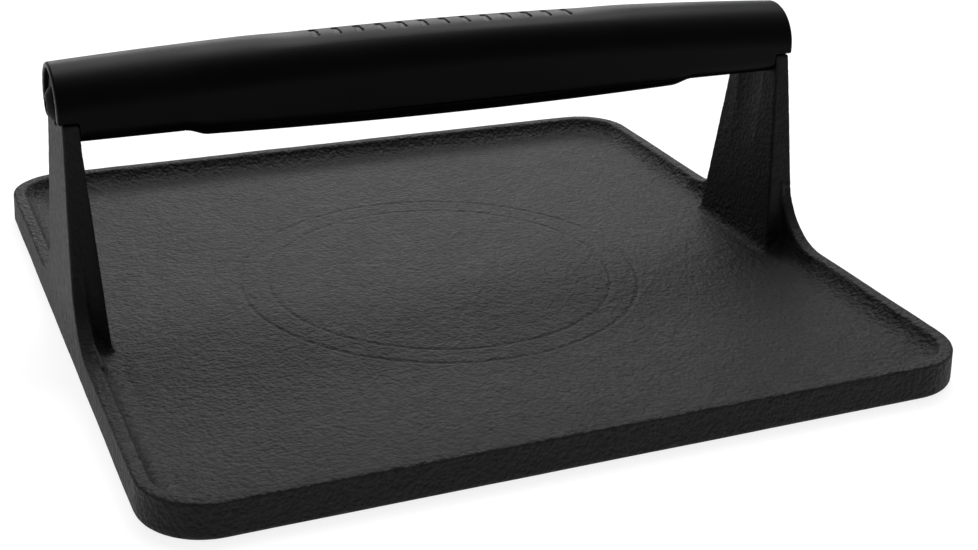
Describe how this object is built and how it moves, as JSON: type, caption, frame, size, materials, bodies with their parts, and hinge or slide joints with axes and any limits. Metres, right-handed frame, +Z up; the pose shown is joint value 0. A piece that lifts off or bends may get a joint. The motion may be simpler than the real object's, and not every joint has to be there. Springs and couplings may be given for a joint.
{
  "type": "bacon press",
  "caption": "Square cast iron griddle press with a raised rim, two upright posts and a black moulded bar handle screwed between them.",
  "frame": {"origin": "centre of the flat pressing face, on the surface the press stands on", "axes": "+X along the handle, +Z up from the pressing face to the handle, +Y to the back"},
  "size_m": [0.254, 0.254, 0.0938],
  "materials": {
    "cast_iron": "sand-cast grain, dark seasoned grey",
    "handle_plastic": "satin black moulding",
    "insert_brass": "turned",
    "screw_steel": "black oxide"
  },
  "bodies": {
    "root": {"cast_base": "cast_iron", "handle_shell": "handle_plastic", "handle_underside_cover": "handle_plastic", "threaded_insert_left": "insert_brass", "threaded_insert_right": "insert_brass", "screw_left": "screw_steel", "screw_right": "screw_steel"}
  },
  "joints": []
}
